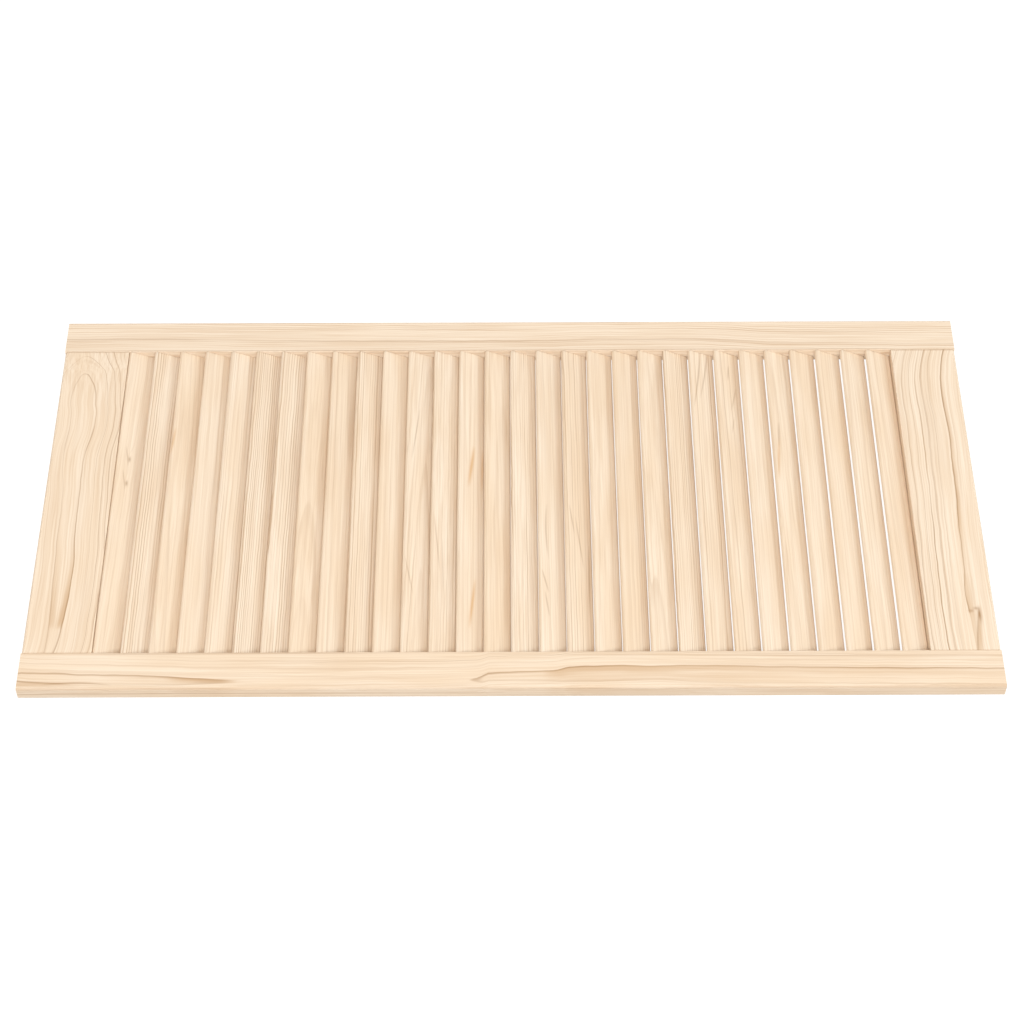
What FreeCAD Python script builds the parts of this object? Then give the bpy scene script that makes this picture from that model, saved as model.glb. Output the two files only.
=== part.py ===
import FreeCAD, Part
import math
import os

from FreeCAD import Vector

# Louvred cabinet door, lying on its back: X runs up the door from the bottom rail to the top rail,
# Y across it and Z out of its front face. The origin is under the middle of the door.

# Driving dimensions in millimetres and degrees

# The leaf
door_length = 993.0
door_width = 494.0
door_thickness = 17.0

# The four boards of the frame
stile_width = 44.0
rail_width = 70.9
rail_setback = 0.6         # the rails stop this far inside the stile ends
outer_edge_radius = 2.5    # rounding round the outside of the door
inner_edge_radius = 0.8    # easing of the arrises round the slat opening

# The slats, with fully rounded long edges
slat_thickness = 6.0
slat_tilt = 23.8           # fall of a slat from the front face, towards the top rail
slat_recess = 0.6          # how far the slats stay inside both faces of the door
sight_gap = 0.05           # least opening between two slats, seen square to the door
rail_gap = 0.1             # room between the first and last slats and the rails

# The inclined slots in the stiles
slot_depth = 8.0
slot_play = 0.3            # room over a slat that rests on the lower flank of its slot
slot_end_gap = 0.5         # room for glue behind the end of a slat

# The dowels in the corner joints
dowel_diameter = 8.0       # a drive fit, so the holes have the same diameter
dowel_length = 40.0
dowel_end_gap = 1.0        # room for glue past each end of a dowel
dowel_edge_distance = 18.0  # from each edge of a rail to the axis of its dowel

# Sizes that follow from them
tilt = math.radians(slat_tilt)
opening_width = door_width - 2 * stile_width
opening_length = door_length - 2 * (rail_width + rail_setback)
slat_core = (door_thickness - 2 * slat_recess - slat_thickness) / math.sin(tilt)
slat_run = slat_core * math.cos(tilt) + slat_thickness
slat_travel = opening_length - 2 * rail_gap - slat_run
slat_count = math.floor(slat_travel / (slat_run + sight_gap)) + 1
slat_pitch = slat_travel / (slat_count - 1)
slat_length = opening_width + 2 * (slot_depth - slot_end_gap)

down_slope = Vector(math.cos(tilt), 0, -math.sin(tilt))
off_face = Vector(math.sin(tilt), 0, math.cos(tilt))


def board(width, length):
    """A board along Y, from its outer edge at X = 0 to its inner edge, with rounded arrises."""
    outer, inner = outer_edge_radius, inner_edge_radius
    arrises = [
        (outer, outer, outer, 180),
        (width - inner, inner, inner, 270),
        (width - inner, door_thickness - inner, inner, 0),
        (outer, door_thickness - outer, outer, 90),
    ]
    arcs = []
    for centre_x, centre_z, radius, start in arrises:
        turns = [math.radians(start + step) for step in (0, 45, 90)]
        points = [
            Vector(centre_x + radius * math.cos(turn), -length / 2, centre_z + radius * math.sin(turn))
            for turn in turns
        ]
        arcs.append(points)
    edges = []
    for here, following in zip(arcs, arcs[1:] + arcs[:1]):
        edges.append(Part.Arc(*here).toShape())
        edges.append(Part.LineSegment(here[-1], following[0]).toShape())
    return Part.Face(Part.Wire(edges)).extrude(Vector(0, length, 0))


def across_door(outline, length):
    """The solid of an outline in the XZ plane, drawn out to both sides of the door's middle."""
    outline.translate(Vector(0, -length / 2, 0))
    return Part.Face(outline).extrude(Vector(0, length, 0))


def slat_outline(centre):
    """Section of a slat: two flat faces between half-round edges."""
    radius = slat_thickness / 2
    upper = centre - down_slope * (slat_core / 2)
    lower = centre + down_slope * (slat_core / 2)
    side = off_face * radius
    nose = down_slope * radius
    return Part.Wire([
        Part.LineSegment(upper + side, lower + side).toShape(),
        Part.Arc(lower + side, lower + nose, lower - side).toShape(),
        Part.LineSegment(lower - side, upper - side).toShape(),
        Part.Arc(upper - side, upper - nose, upper + side).toShape(),
    ])


def slot_outline(centre):
    """Section of a slot: the clipped corners touch the circle that the round edge of a slat plays in."""
    radius = (slat_thickness + slot_play) / 2
    clip = radius * (2 - math.sqrt(2))
    end = slat_core / 2 + radius
    quarter = [(end - clip, radius), (end, radius - clip)]
    half = quarter + [(along, -off) for along, off in reversed(quarter)]
    points = [centre + down_slope * along + off_face * off for along, off in half]
    points += [centre - down_slope * along - off_face * off for along, off in half]
    return Part.makePolygon(points + points[:1])


def turned(shape, degrees):
    """A copy of a shape, turned about the middle of the door."""
    copy = shape.copy()
    copy.rotate(Vector(0, 0, 0), Vector(0, 0, 1), degrees)
    return copy


def pin(start, length):
    """A round pin along Y: a dowel, or the hole for one."""
    return Part.makeCylinder(dowel_diameter / 2, length, start, Vector(0, 1, 0))


# Slats: evenly spaced between one that clears the bottom rail and one that clears the top rail
middle = door_thickness / 2
slat_places = [Vector(index * slat_pitch - slat_travel / 2, 0, middle) for index in range(slat_count)]
slats = [across_door(slat_outline(place), slat_length) for place in slat_places]

# Slots: the lower flank carries the slat, and the play is all above it
slot_span = opening_width + 2 * slot_depth
slots = Part.makeCompound([
    across_door(slot_outline(place + off_face * (slot_play / 2)), slot_span) for place in slat_places
])

# Dowels and their holes, on the joint line between the rails and the stiles
joint_y = opening_width / 2
hole_length = dowel_length + 2 * dowel_end_gap
rail_outer_x = door_length / 2 - rail_setback
dowel_places = [rail_outer_x - dowel_edge_distance, rail_outer_x - rail_width + dowel_edge_distance]
corners = {
    "top_left": (1, 1),
    "top_right": (1, -1),
    "bottom_left": (-1, 1),
    "bottom_right": (-1, -1),
}
dowels = {}
drills = []
for corner, (end, side) in corners.items():
    pair = []
    for place in dowel_places:
        start = Vector(end * place, side * joint_y - dowel_length / 2, middle)
        pair.append(pin(start, dowel_length))
        drills.append(pin(start - Vector(0, dowel_end_gap, 0), hole_length))
    dowels[corner] = Part.makeCompound(pair)
holes = Part.makeCompound(drills)

# Frame boards: the second of each pair is the first one turned half round before it is slotted and drilled
rail = board(rail_width, opening_width)
rail.translate(Vector(-rail_outer_x, 0, 0))
stile = board(stile_width, door_length)
stile.translate(Vector(-door_width / 2, 0, 0))

parts = {
    "bottom_rail": rail.cut(holes),
    "top_rail": turned(rail, 180).cut(holes),
    "right_stile": turned(stile, 90).cut(slots).cut(holes),
    "left_stile": turned(stile, -90).cut(slots).cut(holes),
}
for index, slat in enumerate(slats, start=1):
    parts[f"slat_{index:02d}"] = slat
for corner, pair in dowels.items():
    parts[f"{corner}_dowels"] = pair

os.makedirs("parts", exist_ok=True)
for name, shape in parts.items():
    shape.exportStep(f"parts/{name}.step")
    print(f"{name}: {len(shape.Solids)} solid, {shape.Volume / 1000:.2f} cm3")
print(f"{slat_count} slats at {slat_pitch:.3f} mm, run {slat_run:.3f} mm, length {slat_length:.1f} mm")
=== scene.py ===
import bpy
import math
import numpy as np
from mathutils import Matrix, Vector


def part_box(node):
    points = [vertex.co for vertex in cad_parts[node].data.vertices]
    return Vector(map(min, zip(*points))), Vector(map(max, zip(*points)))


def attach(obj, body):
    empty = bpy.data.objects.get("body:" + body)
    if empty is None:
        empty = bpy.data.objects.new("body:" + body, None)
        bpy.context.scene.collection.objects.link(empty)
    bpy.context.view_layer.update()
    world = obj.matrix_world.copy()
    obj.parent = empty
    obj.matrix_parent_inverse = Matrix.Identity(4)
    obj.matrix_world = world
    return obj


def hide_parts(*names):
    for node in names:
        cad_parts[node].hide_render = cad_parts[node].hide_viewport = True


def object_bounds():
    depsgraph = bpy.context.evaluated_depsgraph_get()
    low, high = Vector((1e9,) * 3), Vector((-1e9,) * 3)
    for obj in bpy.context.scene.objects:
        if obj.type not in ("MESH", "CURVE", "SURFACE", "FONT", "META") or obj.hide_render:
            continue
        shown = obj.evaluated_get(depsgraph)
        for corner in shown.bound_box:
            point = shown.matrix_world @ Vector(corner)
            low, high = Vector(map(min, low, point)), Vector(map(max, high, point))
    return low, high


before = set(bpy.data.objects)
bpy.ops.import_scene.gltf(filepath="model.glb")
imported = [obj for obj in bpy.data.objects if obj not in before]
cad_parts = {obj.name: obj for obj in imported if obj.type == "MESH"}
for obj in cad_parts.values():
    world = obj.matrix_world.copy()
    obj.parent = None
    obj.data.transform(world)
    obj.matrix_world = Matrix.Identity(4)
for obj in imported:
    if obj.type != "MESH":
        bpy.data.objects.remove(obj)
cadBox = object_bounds()
print("frame loaded,", len(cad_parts), "pieces of wood")

perMetre = 1000.0   # the grain is laid out in millimetres


class Reading:
    # A value read over a surface: arithmetic on readings adds Math nodes, and node() adds any other node.
    def __init__(self, tree, socket=None):
        self.tree = tree
        self.socket = socket

    def node(self, kind, settings=None, sockets=None, out=0):
        made = self.tree.nodes.new(kind)
        for name, value in (settings or {}).items():
            if name == "curve":   # a Float Curve takes its points here
                points = made.mapping.curves[0].points
                points[0].location = value[0]
                points[1].location = value[-1]
                for point in value[1:-1]:
                    points.new(*point)
                made.mapping.update()
            else:
                setattr(made, name, value)
        for name, value in (sockets or {}).items():
            if isinstance(value, Reading):
                self.tree.links.new(value.socket, made.inputs[name])
            else:
                made.inputs[name].default_value = value
        return Reading(self.tree, made.outputs[out] if made.outputs else None)

    def maths(self, operation, first, second=0.0):
        return self.node("ShaderNodeMath", {"operation": operation}, {0: first, 1: second})

    def __add__(self, other):
        return self.maths("ADD", self, other)

    def __sub__(self, other):
        return self.maths("SUBTRACT", self, other)

    def __rsub__(self, other):
        return self.maths("SUBTRACT", other, self)

    def __mul__(self, other):
        return self.maths("MULTIPLY", self, other)

    def __truediv__(self, other):
        return self.maths("DIVIDE", self, other)

    def __pow__(self, other):
        return self.maths("POWER", self, other)

    __radd__ = __add__
    __rmul__ = __mul__


def emptyTree(block):
    # a material or a world, cleared for its own nodes
    block.use_nodes = True
    block.node_tree.nodes.clear()
    return Reading(block.node_tree)


def axesOf(vector):
    return [vector.node("ShaderNodeSeparateXYZ", None, {0: vector}, axis) for axis in range(3)]


def doorPlace(wood):
    # where a point lies on the door, in millimetres
    place = wood.node("ShaderNodeTexCoord", None, None, "Object")
    return axesOf(wood.node("ShaderNodeMapping", None, {"Vector": place, "Scale": (perMetre,) * 3}))


def rise(reading, low, high):
    # smooth step, from 0 at low to 1 at high
    return reading.node("ShaderNodeMapRange", {"interpolation_type": "SMOOTHSTEP"},
                        {"Value": reading, "From Min": low, "From Max": high})


def atLeast(least, reading):
    # a reading from 0 to 1, lifted to run from the least to 1
    return reading * (1 - least) + least


def hill(reading, middle, reach):
    # bell curve: 1 at the middle, fading to nothing a few reaches away
    away = (reading - middle) / reach
    return reading.maths("EXPONENT", away * away * -1)


def patch(spot, mark):
    # a bell curve both ways
    return hill(spot[0], mark["at"][0], mark["size"][0]) * hill(spot[1], mark["at"][1], mark["size"][1])


def course(along, stops):
    # a value that follows the board: a smooth curve through given stops (millimetres along, value)
    values = [value for at, value in stops]
    first = stops[0][0]
    length = stops[-1][0] - first
    least = min(values)
    span = max(values) - least
    if span == 0:
        return least
    curve = [((at - first) / length, (value - least) / span) for at, value in stops]
    share = (along - first) / length
    return along.node("ShaderNodeFloatCurve", {"curve": curve}, {"Value": share}) * span + least


def cloud(trunk, noise):
    # soft noise, drawn out along the grain: its cells are counted per millimetre, across and along
    across, along, depth = trunk
    crosswise, lengthwise = noise["cells"]
    spot = across.node("ShaderNodeCombineXYZ", None, {
        0: across * crosswise, 1: along * lengthwise, 2: depth * crosswise})
    return across.node("ShaderNodeTexNoise", None, {"Vector": spot, "Scale": 1.0, "Detail": noise["detail"]})


def veil(trunk, noise):
    # the same noise, rising from 0 to 1 between two levels
    return rise(cloud(trunk, noise), *noise["levels"])


def tinted(amount, under, over):
    # colour under turned towards colour over by the amount (a Mix node's colours are 6 and 7, and 2 out)
    return amount.node("ShaderNodeMix", {"data_type": "RGBA"}, {0: amount, 6: under, 7: over}, 2)


def streakMark(spot, streak):
    # a stain between two points: a bell curve across, a parabola along, darkest half way
    across, along = spot
    start, stop = streak["from"], streak["to"]
    share = (along - start[1]) / (stop[1] - start[1])
    fade = share.maths("MAXIMUM", share * (1 - share) * 4, 0.0)
    middle = share * (stop[0] - start[0]) + start[0] + fade * streak.get("bend", 0.0)
    return hill(across - middle, 0.0, streak["width"]) * fade * streak["dark"]


def woodSurface(wood, colour, roughness, relief, skin):
    # a dull surface with fine relief
    normal = wood.node("ShaderNodeBump", None, {
        "Strength": skin["bump"],
        "Distance": skin["bumpHeight"],
        "Height": relief,
    })
    surface = wood.node("ShaderNodeBsdfPrincipled", None, {
        "Base Color": colour,
        "Roughness": roughness,
        "Normal": normal,
        "Specular IOR Level": skin["specular"],
    })
    wood.node("ShaderNodeOutputMaterial", None, {"Surface": surface})


def dress(piece, material):
    piece.data.materials.clear()
    piece.data.materials.append(material)


def placed(name, data):
    # a new object in the scene
    thing = bpy.data.objects.new(name, data)
    bpy.context.scene.collection.objects.link(thing)
    return thing


# Colours of planed pine, as seen in soft white light
pineColours = {
    "pale": (0.865, 0.75, 0.615, 1.0),
    "warm": (0.815, 0.66, 0.495, 1.0),
    "fibre": (0.64, 0.46, 0.30, 1.0),
    "latewood": (0.48, 0.305, 0.17, 1.0),
    "tan": (0.58, 0.385, 0.22, 1.0),
    "amber": (0.66, 0.40, 0.19, 1.0),
    "bold": (0.37, 0.215, 0.105, 1.0),
    "endGrain": (0.66, 0.47, 0.285, 1.0),
}

# Grain that all pine pieces share
pineGrain = {
    "longWave": {"cells": (0.015, 0.009), "detail": 3.0},
    "shortWave": {"cells": (0.10, 0.035), "detail": 1.0},
    "patchy": {"cells": (0.09, 0.006), "detail": 2.0, "levels": (0.32, 0.62)},
    "fibre": {"cells": (0.55, 0.0045), "detail": 2.0, "levels": (0.38, 0.68)},
    "hair": {"cells": (1.3, 0.012), "detail": 2.0, "levels": (0.40, 0.70)},
    "pore": {"cells": (5.0, 0.12), "detail": 2.0, "levels": (0.55, 0.75)},
    "mottle": {"cells": (0.05, 0.008), "detail": 1.0, "levels": (0.3, 0.7)},
    "hairShare": 0.7,                # strength of the hairs beside the fibres
    "poreShare": 0.08,
    "unevenCells": 0.11,             # how often the spacing of the rings changes, per millimetre
    "slowDarkening": (0.30, 0.90),   # parts of a year's growth, from 0 to 1
    "lateDarkening": (0.64, 0.88),
    "yearEnd": (0.93, 1.0),
    "slowShare": 0.40,
    "faintestPatch": 0.35,           # least strength of a ring where it fades along the board
    "faintestYear": 0.2,             # and in a poor year
    "faintestBold": 0.6,             # and of a bold ring, where the others fade
    "calmLines": 0.35,               # strength of the lines in the youngest wood
    "calmBorder": 1.0,               # millimetres over which they fade, to each side
    "darkestLine": 0.65,
    "boldEnd": 0.5,                  # millimetres over which a bold ring stops
    "tanFull": 0.4,                  # part of the tan width that has the full colour
    "sideBorder": 4.0,               # millimetres from the pith to where a side has its full strength
    "leastCut": 0.004,               # keeps a ring that lies flat to the face from spreading without end
    "endFacing": (0.7, 0.95),        # how squarely a face has to look along the grain to be end grain
    "endShare": 0.55,
    "relief": {"fibre": 0.35, "pore": 0.25, "line": 0.4},
    "roughness": 0.66,
    "gloss": {"line": 0.10, "fibre": 0.06},
    "bump": 0.35,
    "bumpHeight": 0.00012,
    "specular": 0.3,
    "trunkStep": 500.0,              # millimetres along the trunk for each whole number of a board's seed
}


def growthRings(radius, patchy, tone, look):
    # pale early wood that darkens slowly and stops at a thin dark line, in some years more than in others
    drift = radius * pineGrain["unevenCells"] + look["seed"]
    uneven = radius.node("ShaderNodeTexNoise", {"noise_dimensions": "1D"},
                         {"W": drift, "Scale": 1.0, "Detail": 1.0}) - 0.5
    rings = radius / tone["ringWidth"] + uneven * look["uneven"]
    year = radius.maths("FLOOR", rings)
    season = rings - year
    vigour = radius.node("ShaderNodeTexWhiteNoise", {"noise_dimensions": "1D"}, {"W": year + look["seed"]})
    slow = rise(season, *pineGrain["slowDarkening"]) * pineGrain["slowShare"]
    late = rise(season, *pineGrain["lateDarkening"]) * (1 - pineGrain["slowShare"])
    line = (slow + late) * (1 - rise(season, *pineGrain["yearEnd"]))
    line = line * atLeast(pineGrain["faintestYear"], vigour * vigour) * patchy
    if "calmWithin" in look:   # the youngest wood, inside the first bold ring, shows fainter lines
        low, high = [look["calmWithin"] + side * pineGrain["calmBorder"] for side in (-1, 1)]
        line = line * atLeast(pineGrain["calmLines"], rise(radius, low, high))
    return line


def stained(colour, spot, look):
    # streaks and knots over the grain, then the joint lines: painted shadow and dust where boards meet
    for stain in ("tan", "amber", "bold"):
        marks = [streakMark(spot, streak) for streak in look.get(stain + "Streaks", [])]
        if stain == "bold":
            marks += [patch(spot, knot) * knot["dark"] for knot in look.get("knots", [])]
        if marks:
            amount = colour.maths("MINIMUM", sum(marks[1:], marks[0]), 1.0)
            colour = tinted(amount, colour, pineColours[stain])
    for seam in look.get("seamShadowAndDust", []):   # painted shadow and dust where two boards meet
        paintedSeamShadow = hill(spot[seam["axis"]], seam["at"], seam["width"]) * course(spot[1], seam["dark"])
        colour = tinted(paintedSeamShadow, colour, pineColours["bold"])
    return colour


def pineFinish(name, place, look):
    # Rings are shells round the pith, so every face of a board shows its own cut through the same trunk.
    material = bpy.data.materials.new(name)
    wood = emptyTree(material)
    spot, (across, along, depth), tone = place(wood, look)

    # the grain wavers sideways a little, in long waves and in short ones
    for wave, reach in (("longWave", look["waver"]), ("shortWave", look["ripple"])):
        across = across + (cloud((across, along, depth), pineGrain[wave]) - 0.5) * reach
    trunk = across, along, depth
    radius = (across * across + depth * depth) ** 0.5
    for bump in look.get("bumps", []):
        radius = radius + patch(spot, bump) * bump["lift"]

    patchy = atLeast(pineGrain["faintestPatch"], veil(trunk, pineGrain["patchy"]))
    line = growthRings(radius, patchy, tone, look)
    fibre, hair, pore, mottle = [veil(trunk, pineGrain[kind]) for kind in ("fibre", "hair", "pore", "mottle")]
    colour = tinted(mottle * look["mottle"] + tone["warmth"], pineColours["pale"], pineColours["warm"])
    threads = fibre * look["fibres"] + hair * look["fibres"] * pineGrain["hairShare"]
    colour = tinted(threads, colour, pineColours["fibre"])
    colour = tinted(pore * pineGrain["poreShare"], colour, pineColours["fibre"])
    dark = wood.maths("MINIMUM", line * tone["lines"], pineGrain["darkestLine"])
    colour = tinted(dark, colour, pineColours["latewood"])

    # Bold rings are measured on the face: the distance along the radius is divided by the sine of the angle
    # at which the face that a point lies on cuts the shell.
    facing = axesOf(wood.node("ShaderNodeTexCoord", None, None, "Normal"))
    sideways = facing[1 - look["grainAxis"]]
    if "boldRings" in look:
        slant = (across * sideways + depth * facing[2]) / radius
        steep = (1 + pineGrain["leastCut"] - slant * slant) ** 0.5
        side = rise(across * look["strongSide"], -pineGrain["sideBorder"], pineGrain["sideBorder"])
        side = atLeast(look["weakSide"], side)
        for ring in look["boldRings"]:
            away = (radius - ring["radius"]) / steep
            outer = 1 - rise(away, 0.0, pineGrain["boldEnd"])
            if "tan" in ring:
                band = rise(away, -look["tanWidth"], -look["tanWidth"] * pineGrain["tanFull"]) * outer
                colour = tinted(band * course(spot[1], ring["tan"]) * side, colour, pineColours["tan"])
            edge = rise(away, -ring["width"], 0.0) * outer * course(spot[1], ring["dark"]) * side
            edge = edge * atLeast(pineGrain["faintestBold"], patchy)
            colour = tinted(edge, colour, pineColours["bold"])
    colour = stained(colour, spot, look)
    if "arrisShade" in look:   # painted shade on the long outer arris, which is eased across the fibres
        arris = sideways * facing[2] * look["arrisShade"]
        colour = tinted(wood.maths("MAXIMUM", arris, 0.0), colour, pineColours["bold"])
    cutEnd = rise(wood.maths("ABSOLUTE", facing[look["grainAxis"]]), *pineGrain["endFacing"])
    colour = tinted(cutEnd * pineGrain["endShare"], colour, pineColours["endGrain"])

    raised, gloss = pineGrain["relief"], pineGrain["gloss"]
    relief = fibre * raised["fibre"] + pore * raised["pore"] + line * raised["line"]
    roughness = pineGrain["roughness"] - line * gloss["line"] - fibre * gloss["fibre"]
    woodSurface(wood, colour, roughness, relief, pineGrain)
    return material


def boardPlace(wood, look):
    # Where a point of a board lies in its trunk, in millimetres. The pith wanders sideways under the face,
    # and rises and sinks so that the crown ring is cut as wide as its half width says: R squared less w
    # squared is the depth squared, and a negative half width leaves that ring below the face.
    axes = doorPlace(wood)
    spot = axes[1 - look["grainAxis"]], axes[look["grainAxis"]]
    deep = [(at, math.sqrt(look["crownRadius"] ** 2 - half * abs(half))) for at, half in look["crown"]]
    face = cadBox[1][2] * perMetre
    trunk = (
        spot[0] - course(spot[1], look["pith"]),
        spot[1] + look["seed"] * pineGrain["trunkStep"],
        axes[2] - face + course(spot[1], deep),
    )
    return spot, trunk, {"warmth": look["warmth"], "lines": look["lines"], "ringWidth": look["ringWidth"]}
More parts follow.
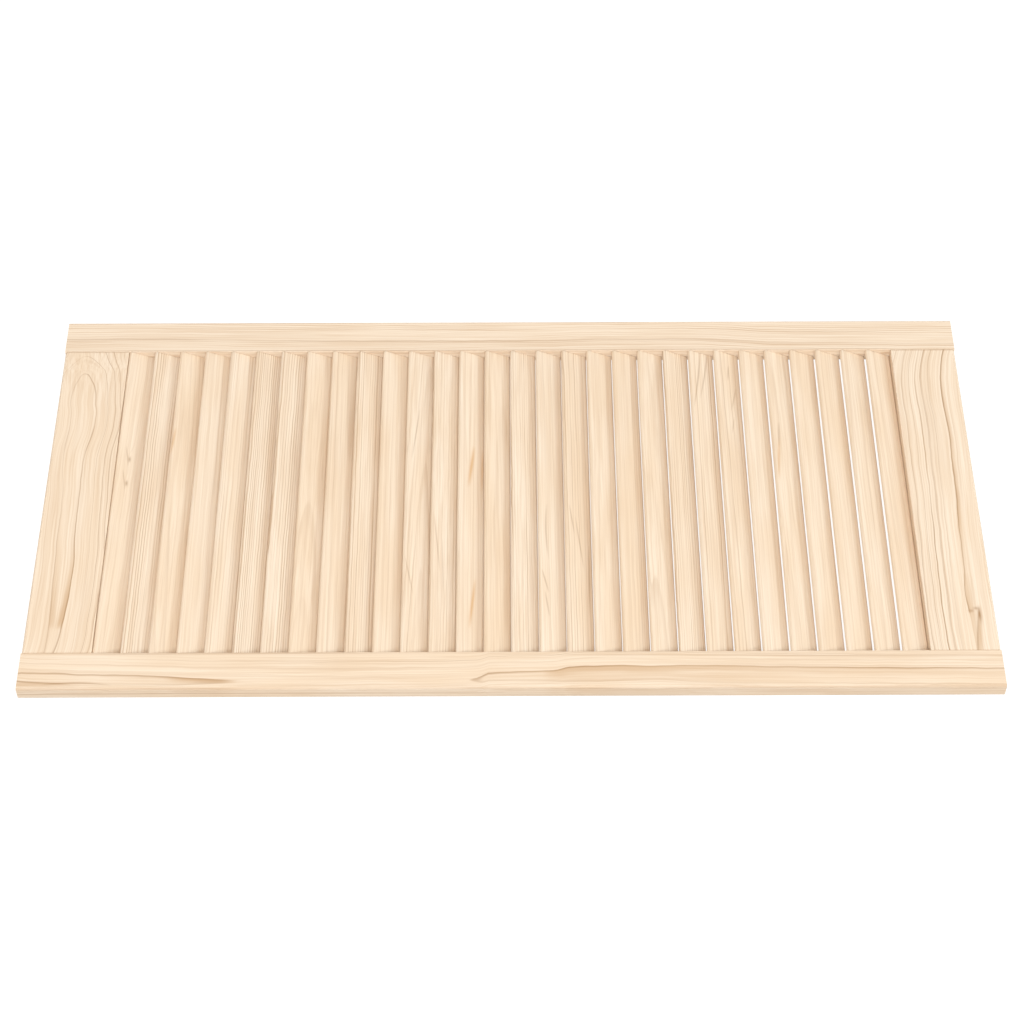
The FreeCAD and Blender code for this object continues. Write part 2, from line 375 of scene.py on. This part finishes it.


# The four boards of the frame. Millimetres from the door's middle: where the pith of each trunk runs, how
# wide the crown ring opens on the face, and how dark the boldest rings are along the board. They are strong
# on one side of the pith, plus or minus, and weaker on the other.
# The seam lines along the joints are painted shadow and dust.
boardLooks = {
    "bottom_rail": {
        "grainAxis": 1, "seed": 3.0,
        "seamShadowAndDust": [
            {"axis": 1, "at": 202.6, "width": 0.8, "dark": [(-205, 0.5), (205, 0.5)]},
            {"axis": 1, "at": -202.8, "width": 0.8, "dark": [(-205, 0.1), (205, 0.1)]},
        ],
        "pith": [(-205, -469.3), (-165, -465.0), (-105, -464.7), (-50, -467.0), (0, -468.2), (50, -470.5),
                 (100, -466.5), (130, -469.0), (160, -469.8), (205, -472.0)],
        "crownRadius": 61.4,
        "crown": [(-205, 4.7), (-165, 7.0), (-105, 9.7), (0, 9.2), (50, 11.5), (75, 13.0), (130, 14.0),
                  (150, 11.5), (163, 7.0), (171, 0.0), (180, -14.0), (190, -20.5), (205, -25.0)],
        "strongSide": 1.0, "weakSide": 0.5, "tanWidth": 8.0, "calmWithin": 61.4,
        "boldRings": [
            {"radius": 61.4, "width": 1.7,
             "dark": [(-205, 0.75), (-150, 0.8), (0, 0.6), (50, 0.5), (75, 0.8), (105, 0.4), (170, 0.6),
                      (205, 0.5)],
             "tan": [(-205, 0.0), (-176, 0.05), (-162, 0.75), (-145, 0.7), (-100, 0.4), (0, 0.05),
                     (205, 0.0)]},
            {"radius": 65.5, "width": 0.9, "dark": [(-205, 0.2), (0, 0.3), (100, 0.4), (205, 0.55)]},
            {"radius": 69.2, "width": 1.0, "dark": [(-205, 0.5), (0, 0.55), (100, 0.6), (205, 0.6)]},
            {"radius": 72.4, "width": 1.0, "dark": [(-205, 0.4), (0, 0.45), (205, 0.55)]},
        ],
        "ringWidth": 2.6, "uneven": 0.8, "waver": 5.0, "ripple": 1.8,
        "fibres": 0.34, "lines": 0.45, "warmth": 0.1, "mottle": 0.6,
    },
    "top_rail": {
        "grainAxis": 1, "seed": 8.0,
        "seamShadowAndDust": [
            {"axis": 1, "at": 202.4, "width": 0.9, "dark": [(-205, 0.55), (205, 0.55)]},
            {"axis": 1, "at": -202.8, "width": 0.8, "dark": [(-205, 0.05), (205, 0.05)]},
        ],
        "pith": [(-205, 497.0), (-130, 496.0), (-93, 496.5), (-35, 497.8), (0, 499.0), (40, 499.2),
                 (64, 500.2), (100, 500.2), (130, 498.9), (156, 500.0), (176, 502.5), (188, 505.0),
                 (205, 510.0)],
        "crownRadius": 60.0, "crown": [(-205, 0.0), (205, 0.0)],
        "strongSide": -1.0, "weakSide": 0.5, "tanWidth": 6.0, "calmWithin": 65.0,
        "boldRings": [
            {"radius": 65.0, "width": 2.0,
             "dark": [(-205, 0.0), (-160, 0.0), (-153, 0.8), (-100, 0.7), (0, 0.85), (205, 0.9)],
             "tan": [(-205, 0.0), (-150, 0.4), (-120, 0.2), (-60, 0.3), (-20, 0.6), (20, 0.4), (110, 0.2),
                     (205, 0.1)]},
            {"radius": 71.6, "width": 1.0, "dark": [(-205, 0.35), (100, 0.35), (205, 0.6)]},
            {"radius": 76.2, "width": 1.4, "dark": [(-205, 0.45), (0, 0.5), (205, 0.7)]},
            {"radius": 80.1, "width": 1.6,
             "dark": [(-205, 0.8), (-40, 0.75), (20, 0.5), (60, 0.8), (150, 0.4), (205, 0.1)]},
            {"radius": 84.9, "width": 1.0, "dark": [(-205, 0.4), (0, 0.5), (205, 0.3)]},
            {"radius": 90.7, "width": 1.0, "dark": [(-205, 0.6), (0, 0.5), (205, 0.4)]},
        ],
        "bumps": [
            {"at": (469.0, -133.0), "size": (8.0, 21.0), "lift": -1.5},
            {"at": (478.6, -161.0), "size": (4.0, 9.0), "lift": 0.5},
        ],
        "knots": [
            {"at": (471.6, -154.6), "size": (2.6, 1.8), "dark": 0.5},
            {"at": (476.6, -151.4), "size": (2.8, 1.8), "dark": 0.5},
            {"at": (479.8, -159.5), "size": (1.7, 8.0), "dark": 0.8},
        ],
        "boldStreaks": [
            {"from": (471.5, -232.0), "to": (481.0, -148.0), "bend": -2.2, "width": 1.0, "dark": 0.55},
        ],
        "tanStreaks": [
            {"from": (474.0, -225.0), "to": (482.0, -146.0), "bend": -1.0, "width": 2.4, "dark": 0.6},
            {"from": (474.0, -165.0), "to": (472.5, -105.0), "width": 3.0, "dark": 0.35},
        ],
        "ringWidth": 2.1, "uneven": 0.6, "waver": 6.0, "ripple": 1.8,
        "fibres": 0.34, "lines": 0.70, "warmth": -0.2, "mottle": 0.6,
    },
    "right_stile": {
        "grainAxis": 0, "seed": 5.0,
        "seamShadowAndDust": [
            {"axis": 0, "at": -204.5, "width": 1.0,
             "dark": [(-497, 0.15), (-430, 0.15), (-390, 0.4), (-200, 0.35), (-120, 0.15), (100, 0.1),
                      (497, 0.05)]},
        ],
        "pith": [(-497, -231.7), (-461, -234.2), (-413, -235.4), (-345, -237.0), (-298, -238.0),
                 (-38, -237.8), (-23, -234.4), (40, -233.0), (60, -230.8), (99, -229.4), (140, -229.2),
                 (190, -231.0), (298, -233.0), (497, -235.0)],
        "crownRadius": 60.0,
        "crown": [(-497, 4.3), (-461, 6.4), (-431, 5.4), (-393, 5.6), (-345, 5.0), (-298, 2.4), (-268, 0.0),
                  (-150, -6.0), (-38, 0.0), (-23, 4.6), (40, 6.2), (60, 8.6), (99, 9.4), (140, 8.4),
                  (190, 10.3), (298, 10.0), (497, 10.0)],
        # the last setting here darkens the long outer arris with painted shade
        "strongSide": 1.0, "weakSide": 0.3, "tanWidth": 15.0, "calmWithin": 60.0, "arrisShade": -0.46,
        "boldRings": [
            {"radius": 60.0, "width": 2.3,
             "dark": [(-497, 0.7), (-400, 0.7), (-320, 0.9), (-290, 0.7), (-264, 0.0), (-60, 0.0),
                      (-38, 0.8), (40, 0.7), (60, 0.9), (110, 0.7), (160, 0.5), (300, 0.5), (350, 0.7),
                      (497, 0.6)],
             "tan": [(-497, 0.25), (-440, 0.05), (-400, 0.1), (-350, 0.2), (-325, 0.5), (-300, 0.55),
                     (-264, 0.0), (-60, 0.0), (-20, 0.1), (30, 0.2), (55, 0.65), (110, 0.65), (160, 0.6),
                     (220, 0.5), (300, 0.35), (497, 0.2)]},
            {"radius": 64.6, "width": 0.8,
             "dark": [(-497, 0.2), (-200, 0.3), (-100, 0.4), (40, 0.4), (497, 0.3)]},
            {"radius": 52.6, "width": 2.0,
             "dark": [(-497, 1.7), (-200, 1.8), (-50, 1.3), (60, 0.6), (497, 0.4)]},
            {"radius": 49.3, "width": 1.8,
             "dark": [(-497, 0.2), (-60, 0.2), (10, 1.6), (140, 1.6), (220, 0.3), (497, 0.3)]},
            {"radius": 56.8, "width": 2.4, "dark": [(-497, 0.3), (-100, 0.15), (200, 0.3), (497, 0.3)]},
            {"radius": 47.5, "width": 2.4, "dark": [(-497, 0.3), (0, 0.4), (497, 0.25)]},
        ],
        "boldStreaks": [
            {"from": (-235.0, -530.0), "to": (-241.5, -440.0), "width": 0.9, "dark": 0.65},
            {"from": (-242.0, -474.0), "to": (-242.5, -400.0), "bend": 2.6, "width": 0.8, "dark": 0.6},
            {"from": (-206.5, -60.0), "to": (-211.5, 650.0), "width": 0.9, "dark": 0.3},
        ],
        "tanStreaks": [
            {"from": (-240.5, -560.0), "to": (-242.0, -430.0), "width": 3.2, "dark": 0.6},
            {"from": (-235.5, -350.0), "to": (-239.0, -275.0), "width": 2.0, "dark": 0.6},
            {"from": (-218.0, -330.0), "to": (-221.0, 60.0), "width": 5.0, "dark": 0.12},
            {"from": (-233.0, 0.0), "to": (-233.5, 330.0), "width": 3.5, "dark": 0.15},
        ],
        "ringWidth": 1.6, "uneven": 0.7, "waver": 3.0, "ripple": 1.8,
        "fibres": 0.34, "lines": 0.34, "warmth": 0.18, "mottle": 0.6,
    },
    "left_stile": {
        "grainAxis": 0, "seed": 12.0,
        "seamShadowAndDust": [
            {"axis": 0, "at": 204.1, "width": 0.9,
             "dark": [(-497, 0.1), (-440, 0.1), (-410, 0.36), (410, 0.36), (440, 0.1), (497, 0.1)]},
        ],
        "pith": [(-497, 313.0), (-400, 313.0), (-298, 311.0), (-99, 309.0), (0, 309.0), (130, 310.8),
                 (195, 310.8), (298, 305.8), (497, 303.0)],
        "crownRadius": 20.0, "crown": [(-497, 0.0), (497, 0.0)],
        "strongSide": -1.0, "weakSide": 0.5,
        "boldRings": [
            {"radius": 94.1, "width": 1.6,
             "dark": [(-497, 0.6), (-364, 0.6), (-320, 0.2), (-219, 0.6), (0, 0.7), (60, 0.5), (200, 0.6),
                      (298, 0.2), (497, 0.4)]},
        ],
        "tanStreaks": [
            {"from": (213.0, -800.0), "to": (213.0, 420.0), "width": 6.0, "dark": 0.13},
        ],
        "ringWidth": 3.0, "uneven": 0.8, "waver": 3.0, "ripple": 1.8,
        "fibres": 0.40, "lines": 1.05, "warmth": -0.1, "mottle": 0.3,
    },
}

for board, look in boardLooks.items():
    dress(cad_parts[board], pineFinish(board + "_pine", boardPlace, look))
print("frame boards finished")


# Slats: each one is cut from its own place in a trunk
slatLook = {
    "thickness": 0.006,
    "tilt": 23.8,             # degrees of fall towards the top rail
    "stations": 49,           # sections along a slat
    "noseSteps": 12,          # facets round each long edge
    "flatSteps": 8,
    "bow": 0.00012,           # most that a slat bends in its own plane
    "twist": 0.12,            # most that an end turns, in degrees
    "diceSeed": 30,
    "lined": {2: 1.9, 5: 0.8, 6: 2.3, 7: 2.2, 10: 1.8, 13: 1.0, 16: 1.2, 18: 1.0, 22: 1.2, 23: 1.0},
    "plain": 0.50,            # most line strength of the other slats
    "plainLeast": 0.3,        # and the least part of it
    "pithOnEdge": {"side": (35, 70), "depth": (4, 16)},   # millimetres from a slat to its pith
    "pithFlat": {"side": (-30, 30), "depth": (15, 60)},
    "sway": 0.008,            # slope of the pith along a slat, sideways and in depth
    "lean": 0.010,
    "trunkStep": 700.0,       # millimetres of trunk between two slats
    "warmths": (0.05, 0.5),
    "linedPaler": 0.2,        # warmth that strong lines take away
    "ringWidths": (2.2, 3.2),
    "seed": 7.0,
    "grainAxis": 1,
    "uneven": 0.9, "waver": 2.0, "ripple": 1.2,
    "fibres": 0.30, "mottle": 0.6,
    "bumps": [
        {"at": (-411.0, 53.5), "size": (5.0, 14.0), "lift": 2.0},
        {"at": (-411.3, 20.5), "size": (5.0, 14.0), "lift": 2.0},
    ],
    "knots": [
        {"at": (-411.0, 52.8), "size": (1.2, 3.6), "dark": 0.6},
        {"at": (-411.3, 19.8), "size": (1.2, 3.6), "dark": 0.6},
    ],
    "boldStreaks": [
        {"from": (-416.0, 71.0), "to": (-411.5, 43.0), "width": 0.6, "dark": 0.4},
        {"from": (-416.5, 38.0), "to": (-412.0, 10.0), "width": 0.6, "dark": 0.4},
        {"from": (-99.0, 125.0), "to": (-106.0, 50.0), "width": 0.7, "dark": 0.45},
        {"from": (-111.0, -80.0), "to": (-101.0, -130.0), "width": 0.7, "dark": 0.35},
        {"from": (-81.0, -25.0), "to": (-74.0, -100.0), "width": 0.7, "dark": 0.4},
        {"from": (-72.0, -55.0), "to": (-70.0, -130.0), "width": 0.6, "dark": 0.35},
        {"from": (38.5, -10.0), "to": (39.5, -85.0), "bend": -2.0, "width": 0.9, "dark": 0.45},
        {"from": (32.0, -98.0), "to": (39.0, -127.0), "width": 0.8, "dark": 0.45},
        {"from": (35.0, -125.0), "to": (39.5, -158.0), "width": 0.8, "dark": 0.4},
        {"from": (62.0, -12.0), "to": (67.0, -52.0), "width": 0.7, "dark": 0.45},
        {"from": (68.0, -25.0), "to": (76.0, -95.0), "width": 0.7, "dark": 0.45},
        {"from": (82.0, -60.0), "to": (80.5, -155.0), "width": 1.0, "dark": 0.4},
        {"from": (213.0, 215.0), "to": (201.0, 118.0), "bend": 1.5, "width": 0.8, "dark": 0.5},
        {"from": (221.0, 215.0), "to": (209.0, 135.0), "bend": 1.5, "width": 0.8, "dark": 0.45},
        {"from": (250.0, 155.0), "to": (243.0, 120.0), "width": 0.9, "dark": 0.35},
        {"from": (245.5, 112.0), "to": (241.5, 86.0), "width": 0.9, "dark": 0.25},
        {"from": (243.0, 186.0), "to": (241.5, 162.0), "width": 0.8, "dark": 0.4},
        {"from": (293.0, 102.0), "to": (290.5, 64.0), "width": 1.2, "dark": 0.35},
    ],
    "amberStreaks": [
        {"from": (-39.0, 72.0), "to": (-45.0, 12.0), "width": 1.8, "dark": 0.8},
        {"from": (-30.0, 70.0), "to": (-31.0, 10.0), "width": 1.4, "dark": 0.5},
        {"from": (-37.0, -105.0), "to": (-43.0, -172.0), "width": 1.6, "dark": 0.75},
        {"from": (292.0, 82.0), "to": (287.0, 18.0), "width": 1.4, "dark": 0.6},
        {"from": (-364.0, 95.0), "to": (-366.5, 58.0), "width": 1.4, "dark": 0.6},
    ],
}


def slatSection(core, radius):
    # two straight faces joined by half circles, walked round once from the under side of the lower edge
    turn = np.linspace(-math.pi / 2, math.pi / 2, slatLook["noseSteps"] + 1)
    flat = np.linspace(core / 2, -core / 2, slatLook["flatSteps"] + 1)[1:-1]
    down = np.concatenate([core / 2 + radius * np.cos(turn), flat,
                           -core / 2 - radius * np.cos(turn), -flat])
    off = np.concatenate([radius * np.sin(turn), np.full(flat.size, radius),
                          -radius * np.sin(turn), np.full(flat.size, -radius)])
    return down, off


def slatSkin(number, dice):
    # The section is carried along Y: at each station it is shifted down the slope by a shallow bow, a
    # parabola that ends at nothing, and turned by a slight twist, which grows evenly from the middle. Then it
    # is laid at the tilt. Its place in the trunk goes with it.
    low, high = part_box(f"slat_{number:02d}")
    tilt = math.radians(slatLook["tilt"])
    radius = slatLook["thickness"] / 2
    core = (high.x - low.x - slatLook["thickness"]) / math.cos(tilt)
    down, off = slatSection(core, radius)
    along = np.linspace(low.y, high.y, slatLook["stations"])
    share = along / high.y
    bow = dice.uniform(-1, 1) * slatLook["bow"] * (1 - share ** 2)
    twist = math.radians(dice.uniform(-1, 1) * slatLook["twist"]) * share
    slope = down[None, :] + bow[:, None]
    height = off[None, :] + twist[:, None] * down[None, :]
    middle = (low + high) / 2
    points = np.stack([
        middle.x + slope * math.cos(tilt) + height * math.sin(tilt),
        np.repeat(along[:, None], down.size, 1),
        middle.z - slope * math.sin(tilt) + height * math.cos(tilt)], axis=-1)

    ring = np.arange(down.size)
    row = np.arange(along.size - 1)[:, None] * down.size
    quads = np.stack([row + ring, row + np.roll(ring, -1), row + np.roll(ring, -1) + down.size,
                      row + ring + down.size], axis=-1).reshape(-1, 4)
    faces = quads.tolist() + [ring[::-1].tolist(), (ring + (along.size - 1) * down.size).tolist()]

    # a lined slat is sawn with the rings on edge, the others nearly flat to them
    onEdge = number in slatLook["lined"]
    pith = slatLook["pithOnEdge"] if onEdge else slatLook["pithFlat"]
    hand = dice.choice([-1, 1]) if onEdge else 1
    pithSide = hand * dice.uniform(*pith["side"])
    pithDepth = dice.choice([-1, 1]) * dice.uniform(*pith["depth"])
    sway = dice.normal(0, slatLook["sway"])
    lean = dice.normal(0, slatLook["lean"])
    place = perMetre * np.stack([
        np.broadcast_to(down, slope.shape) - sway * along[:, None],
        np.broadcast_to(along[:, None], slope.shape),
        np.broadcast_to(off, slope.shape) - lean * along[:, None]], axis=-1)
    place = place + [-pithSide, slatLook["trunkStep"] * number, -pithDepth]
    plainLines = dice.uniform(slatLook["plainLeast"], 1.0) * slatLook["plain"]
    lines = slatLook["lined"].get(number, plainLines)
    warmth = dice.uniform(*slatLook["warmths"]) - slatLook["linedPaler"] * lines
    tone = np.array([warmth, lines, dice.uniform(*slatLook["ringWidths"])])

    mesh = bpy.data.meshes.new(f"slatBoard_{number:02d}")
    mesh.from_pydata(points.reshape(-1, 3), [], faces)
    mesh.polygons.foreach_set("use_smooth", np.array([True] * len(quads) + [False, False]))
    trunkPlace = mesh.attributes.new("trunkPlace", "FLOAT_VECTOR", "POINT")
    trunkPlace.data.foreach_set("vector", place.reshape(-1).astype(np.float32))
    slatTone = mesh.attributes.new("slatTone", "FLOAT_VECTOR", "POINT")
    slatTone.data.foreach_set("vector", np.tile(tone, points.size // 3).astype(np.float32))
    mesh.update()
    return placed(mesh.name, mesh)


def slatPlace(wood, look):
    # a slat carries its place in the trunk and its tone as attributes
    axes = doorPlace(wood)
    spot = axes[1 - look["grainAxis"]], axes[look["grainAxis"]]
    trunk = axesOf(wood.node("ShaderNodeAttribute", {"attribute_name": "trunkPlace"}, None, "Vector"))
    tone = axesOf(wood.node("ShaderNodeAttribute", {"attribute_name": "slatTone"}, None, "Vector"))
    return spot, trunk, {"warmth": tone[0], "lines": tone[1], "ringWidth": tone[2]}


slatPine = pineFinish("slat_pine", slatPlace, slatLook)
dice = np.random.default_rng(slatLook["diceSeed"])
slatCount = sum(node.startswith("slat_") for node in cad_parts)
for number in range(1, slatCount + 1):
    slat = slatSkin(number, dice)
    dress(slat, slatPine)
    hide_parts(f"slat_{number:02d}")
    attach(slat, "root")
print(slatCount, "slats cut")


# Dowels in the corner joints: beech with its short dark flecks
beechLook = {
    "pale": (0.60, 0.42, 0.27, 1.0),
    "dark": (0.40, 0.24, 0.13, 1.0),
    "fleck": {"cells": (2.2, 0.5), "detail": 2.0, "levels": (0.56, 0.70)},
    "streak": {"cells": (0.9, 0.03), "detail": 2.0, "levels": (0.35, 0.70)},
    "fleckShare": 0.5,
    "streakShare": 0.3,
    "roughness": 0.6,
    "streakGloss": 0.1,
    "bump": 0.3,
    "bumpHeight": 0.0001,
    "specular": 0.3,
}


def beechFinish():
    material = bpy.data.materials.new("dowel_beech")
    wood = emptyTree(material)
    place = doorPlace(wood)
    fleck = veil(place, beechLook["fleck"])
    streak = veil(place, beechLook["streak"])
    dark = streak * beechLook["streakShare"] + fleck * beechLook["fleckShare"]
    roughness = beechLook["roughness"] - streak * beechLook["streakGloss"]
    woodSurface(wood, tinted(dark, beechLook["pale"], beechLook["dark"]), roughness, fleck, beechLook)
    return material


dowelBeech = beechFinish()
for node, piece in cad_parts.items():
    if node.endswith("_dowels"):
        dress(piece, dowelBeech)
print("dowels finished")


# Studio: a bright white floor and soft light from the right, from the camera's side and from all round
studio = {
    "floorSize": 80.0,
    "floorDrop": 0.0003,   # the floor lies this far under the door
    "floorColour": (0.2, 0.2, 0.2, 1.0),
    "floorRoughness": 0.9,
    "floorGlow": 0.92,
    "fromAbove": 0.705,    # light of the two halves of the dome
    "fromBelow": 0.50,
    "horizon": 0.1,        # half height of the soft border between them
    "domeColour": (1.09, 1.0, 0.915, 1.0),
    "lamps": {
        "rightSoftbox": {"at": (6.4, -0.8, 4.7), "size": 1.7, "power": 131.0, "colour": (0.83, 1.0, 1.09)},
        "frontSoftbox": {"at": (0.0, -4.0, 4.0), "size": 2.2, "power": 171.0, "colour": (0.975, 1.0, 1.01)},
    },
}

corner = np.array([[-1, -1], [1, -1], [1, 1], [-1, 1]]) * studio["floorSize"] / 2
floorMesh = bpy.data.meshes.new("studioFloor")
floorMesh.from_pydata(np.column_stack([corner, np.full(4, -studio["floorDrop"])]), [], [[0, 1, 2, 3]])
floor = placed("studioFloor", floorMesh)
floorPaint = bpy.data.materials.new("floor_white")
paint = emptyTree(floorPaint)
paper = paint.node("ShaderNodeBsdfPrincipled", None, {
    "Base Color": studio["floorColour"], "Roughness": studio["floorRoughness"], "Specular IOR Level": 0.0,
    "Emission Color": (1.0, 1.0, 1.0, 1.0), "Emission Strength": studio["floorGlow"]})
paint.node("ShaderNodeOutputMaterial", None, {"Surface": paper})
dress(floor, floorPaint)
floor.visible_diffuse = False   # the lower half of the dome stands in for the light that the floor throws up
floor.visible_shadow = False

for name, lamp in studio["lamps"].items():
    light = bpy.data.lights.new(name, "AREA")
    light.size = lamp["size"]
    light.energy = lamp["power"]
    light.color = lamp["colour"]
    holder = placed(name, light)
    holder.location = lamp["at"]
    aim = holder.location * -1
    holder.rotation_euler = aim.to_track_quat("-Z", "Y").to_euler()

sky = bpy.data.worlds.new("studioWhite")
air = emptyTree(sky)
up = axesOf(air.node("ShaderNodeTexCoord", None, None, "Generated"))[2]
upper = rise(up, -studio["horizon"], studio["horizon"])
glow = upper * (studio["fromAbove"] - studio["fromBelow"]) + studio["fromBelow"]
dome = air.node("ShaderNodeBackground", None, {"Color": studio["domeColour"], "Strength": glow})
air.node("ShaderNodeOutputWorld", None, {"Surface": dome})
bpy.context.scene.world = sky
bpy.context.scene.view_settings.view_transform = "Standard"

# Camera, fitted to the corners of the door in the photograph
eye = {"at": (-0.0037, -1.5681, 2.0132), "turn": (37.711, 0.026, -0.221), "lens": 83.843, "sensor": 36.0}
lens = bpy.data.cameras.new("photoCamera")
lens.lens = eye["lens"]
lens.sensor_width = eye["sensor"]
camera = placed("photoCamera", lens)
camera.location = eye["at"]
camera.rotation_euler = [math.radians(angle) for angle in eye["turn"]]
bpy.context.scene.camera = camera
print("studio ready")
